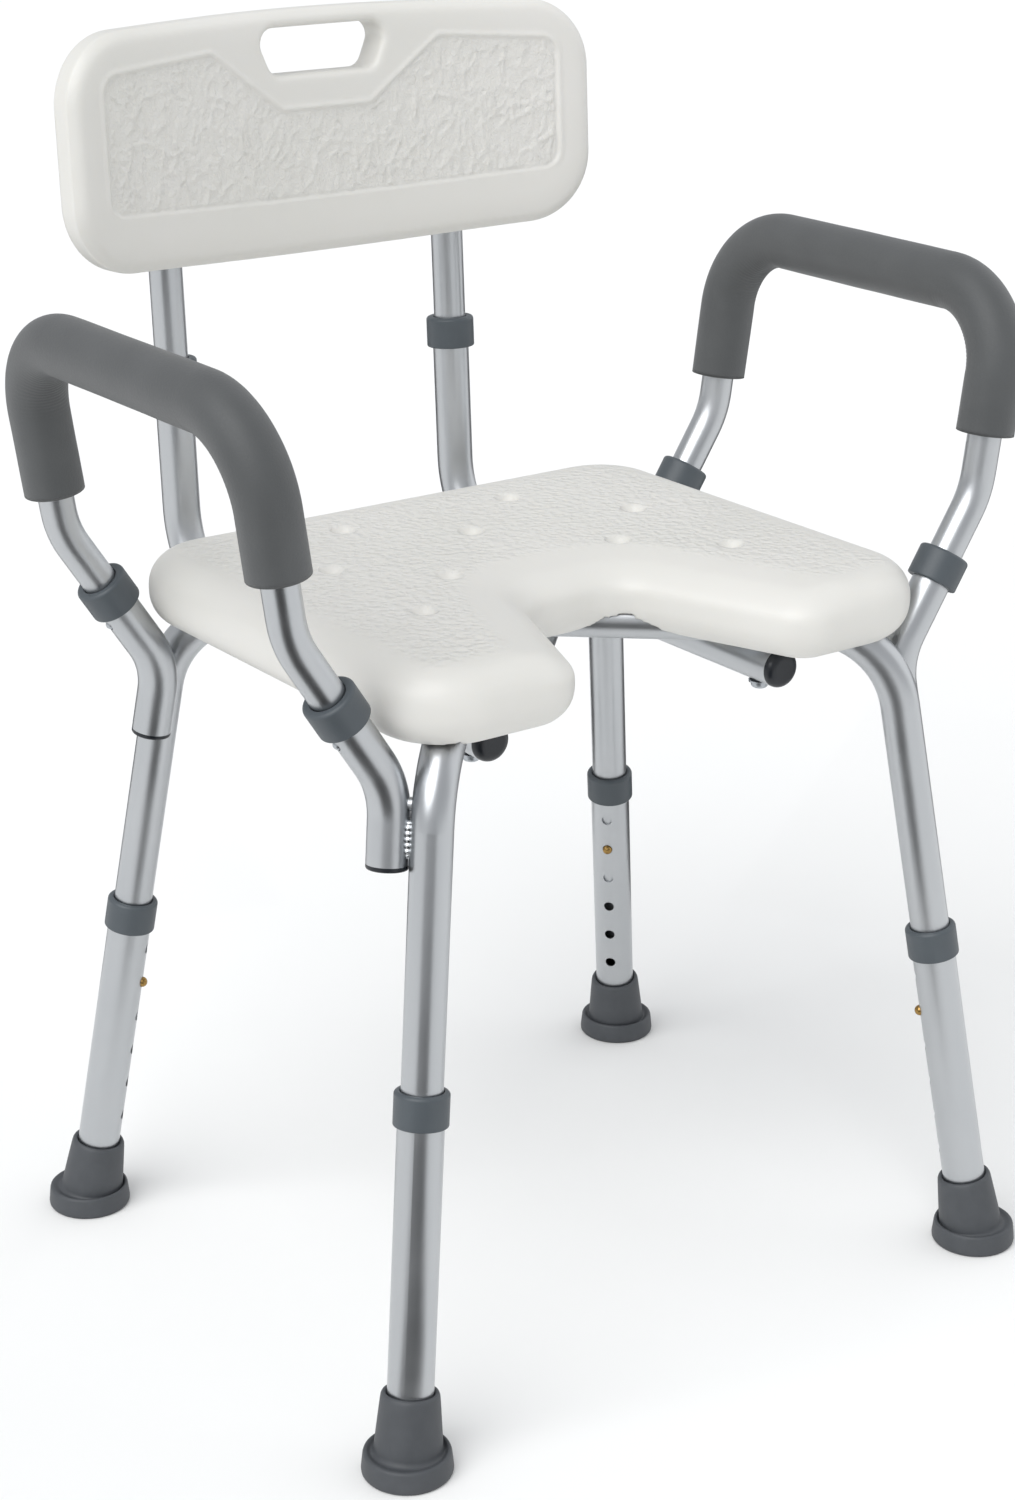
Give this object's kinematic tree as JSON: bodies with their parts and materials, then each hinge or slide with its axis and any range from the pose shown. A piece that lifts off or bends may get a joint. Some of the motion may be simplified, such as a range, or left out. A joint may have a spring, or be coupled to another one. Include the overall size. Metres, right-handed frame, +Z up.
{
  "type": "shower chair",
  "caption": "Height-adjustable shower chair with a U-cut moulded seat, curved backrest with carrying slot, padded lift-out arms and splayed telescopic legs on rubber feet.",
  "frame": {"origin": "on the floor, under the middle of the chair's plan box", "axes": "+Z up, front faces -Y, +X to the right of a front view"},
  "size_m": [0.5866, 0.4944, 0.7868],
  "materials": {
    "seat_plastic": "blow-moulded polyethylene, pebbled",
    "anodised_aluminium": "satin anodised",
    "collar_plastic": "moulded, satin",
    "plug_plastic": "moulded, satin",
    "foot_rubber": "moulded, matt",
    "grip_foam": "closed-cell foam skin",
    "brass": "turned, plain",
    "zinc_steel": "zinc plated"
  },
  "bodies": {
    "frame": {"arm_socket_front_left": "anodised_aluminium", "arm_socket_front_right": "anodised_aluminium", "arm_socket_rear_left": "anodised_aluminium", "arm_socket_rear_right": "anodised_aluminium", "back_collar_left": "collar_plastic", "back_collar_right": "collar_plastic", "back_plug_left": "plug_plastic", "back_plug_right": "plug_plastic", "back_tube_left": "anodised_aluminium", "back_tube_right": "anodised_aluminium", "cross_tube_lower": "anodised_aluminium", "cross_tube_upper": "anodised_aluminium", "seat": "seat_plastic", "seat_bolts": "zinc_steel", "seat_washers": "zinc_steel", "socket_collar_front_left": "collar_plastic", "socket_collar_front_right": "collar_plastic", "socket_collar_rear_left": "collar_plastic", "socket_collar_rear_right": "collar_plastic", "socket_plug_front_left": "plug_plastic", "socket_plug_front_right": "plug_plastic", "socket_plug_rear_left": "plug_plastic", "socket_plug_rear_right": "plug_plastic"},
    "leg_front_left": {"leg_tube_front_left": "anodised_aluminium", "leg_collar_front_left": "collar_plastic", "foot_front_left": "foot_rubber"},
    "leg_button_front_left": {"leg_button_front_left": "brass"},
    "leg_front_right": {"leg_tube_front_right": "anodised_aluminium", "leg_collar_front_right": "collar_plastic", "foot_front_right": "foot_rubber"},
    "leg_button_front_right": {"leg_button_front_right": "brass"},
    "leg_rear_left": {"leg_tube_rear_left": "anodised_aluminium", "leg_collar_rear_left": "collar_plastic", "foot_rear_left": "foot_rubber"},
    "leg_button_rear_left": {"leg_button_rear_left": "brass"},
    "leg_rear_right": {"leg_tube_rear_right": "anodised_aluminium", "leg_collar_rear_right": "collar_plastic", "foot_rear_right": "foot_rubber"},
    "leg_button_rear_right": {"leg_button_rear_right": "brass"},
    "arm_left": {"arm_tube_left": "anodised_aluminium", "foam_grip_left": "grip_foam"},
    "arm_button_front_left": {"arm_button_front_left": "zinc_steel"},
    "arm_button_rear_left": {"arm_button_rear_left": "zinc_steel"},
    "arm_right": {"arm_tube_right": "anodised_aluminium", "foam_grip_right": "grip_foam"},
    "arm_button_front_right": {"arm_button_front_right": "zinc_steel"},
    "arm_button_rear_right": {"arm_button_rear_right": "zinc_steel"},
    "back": {"backrest": "seat_plastic", "back_post_left": "anodised_aluminium", "back_post_right": "anodised_aluminium"},
    "back_button_left": {"back_button_left": "zinc_steel"},
    "back_button_right": {"back_button_right": "zinc_steel"}
  },
  "joints": [
    {"name": "leg_slide_front_left", "type": "slide", "parent": "frame", "child": "leg_front_left", "axis": [-0.1321, -0.1127, -0.9848], "range_m": [-0.1016, 0.0254], "deforming": ["leg_button_front_left"]},
    {"name": "leg_slide_front_right", "type": "slide", "parent": "frame", "child": "leg_front_right", "axis": [0.1321, -0.1127, -0.9848], "range_m": [-0.1016, 0.0254], "deforming": ["leg_button_front_right"]},
    {"name": "leg_slide_rear_left", "type": "slide", "parent": "frame", "child": "leg_rear_left", "axis": [-0.1321, 0.1127, -0.9848], "range_m": [-0.1016, 0.0254], "deforming": ["leg_button_rear_left"]},
    {"name": "leg_slide_rear_right", "type": "slide", "parent": "frame", "child": "leg_rear_right", "axis": [0.1321, 0.1127, -0.9848], "range_m": [-0.1016, 0.0254], "deforming": ["leg_button_rear_right"]},
    {"name": "arm_lift_left", "type": "slide", "parent": "frame", "child": "arm_left", "axis": [-0.5446, 0, 0.8387], "range_m": [0, 0.055], "deforming": ["arm_button_front_left", "arm_button_rear_left"]},
    {"name": "arm_lift_right", "type": "slide", "parent": "frame", "child": "arm_right", "axis": [0.5446, 0, 0.8387], "range_m": [0, 0.055], "deforming": ["arm_button_front_right", "arm_button_rear_right"]},
    {"name": "back_lift", "type": "slide", "parent": "frame", "child": "back", "axis": [0, 0.0558, 0.9984], "range_m": [0, 0.07], "deforming": ["back_button_left", "back_button_right"]},
    {"name": "leg_press_front_left", "type": "slide", "parent": "frame", "child": "leg_button_front_left", "axis": [-0.7493, -0.6391, 0.1736], "range_m": [0, 0.005], "stiffness_N_per_m": 800},
    {"name": "leg_press_front_right", "type": "slide", "parent": "frame", "child": "leg_button_front_right", "axis": [0.7493, -0.6391, 0.1736], "range_m": [0, 0.005], "stiffness_N_per_m": 800},
    {"name": "leg_press_rear_left", "type": "slide", "parent": "frame", "child": "leg_button_rear_left", "axis": [-0.7493, 0.6391, 0.1736], "range_m": [0, 0.005], "stiffness_N_per_m": 800},
    {"name": "leg_press_rear_right", "type": "slide", "parent": "frame", "child": "leg_button_rear_right", "axis": [0.7493, 0.6391, 0.1736], "range_m": [0, 0.005], "stiffness_N_per_m": 800},
    {"name": "arm_press_front_left", "type": "slide", "parent": "arm_left", "child": "arm_button_front_left", "axis": [0.8387, 0, 0.5446], "range_m": [0, 0.003], "stiffness_N_per_m": 800},
    {"name": "arm_press_rear_left", "type": "slide", "parent": "arm_left", "child": "arm_button_rear_left", "axis": [0.8387, 0, 0.5446], "range_m": [0, 0.003], "stiffness_N_per_m": 800},
    {"name": "arm_press_front_right", "type": "slide", "parent": "arm_right", "child": "arm_button_front_right", "axis": [-0.8387, 0, 0.5446], "range_m": [0, 0.003], "stiffness_N_per_m": 800},
    {"name": "arm_press_rear_right", "type": "slide", "parent": "arm_right", "child": "arm_button_rear_right", "axis": [-0.8387, 0, 0.5446], "range_m": [0, 0.003], "stiffness_N_per_m": 800},
    {"name": "back_press_left", "type": "slide", "parent": "back", "child": "back_button_left", "axis": [0, -0.9984, 0.0558], "range_m": [0, 0.003], "stiffness_N_per_m": 800},
    {"name": "back_press_right", "type": "slide", "parent": "back", "child": "back_button_right", "axis": [0, -0.9984, 0.0558], "range_m": [0, 0.003], "stiffness_N_per_m": 800}
  ]
}
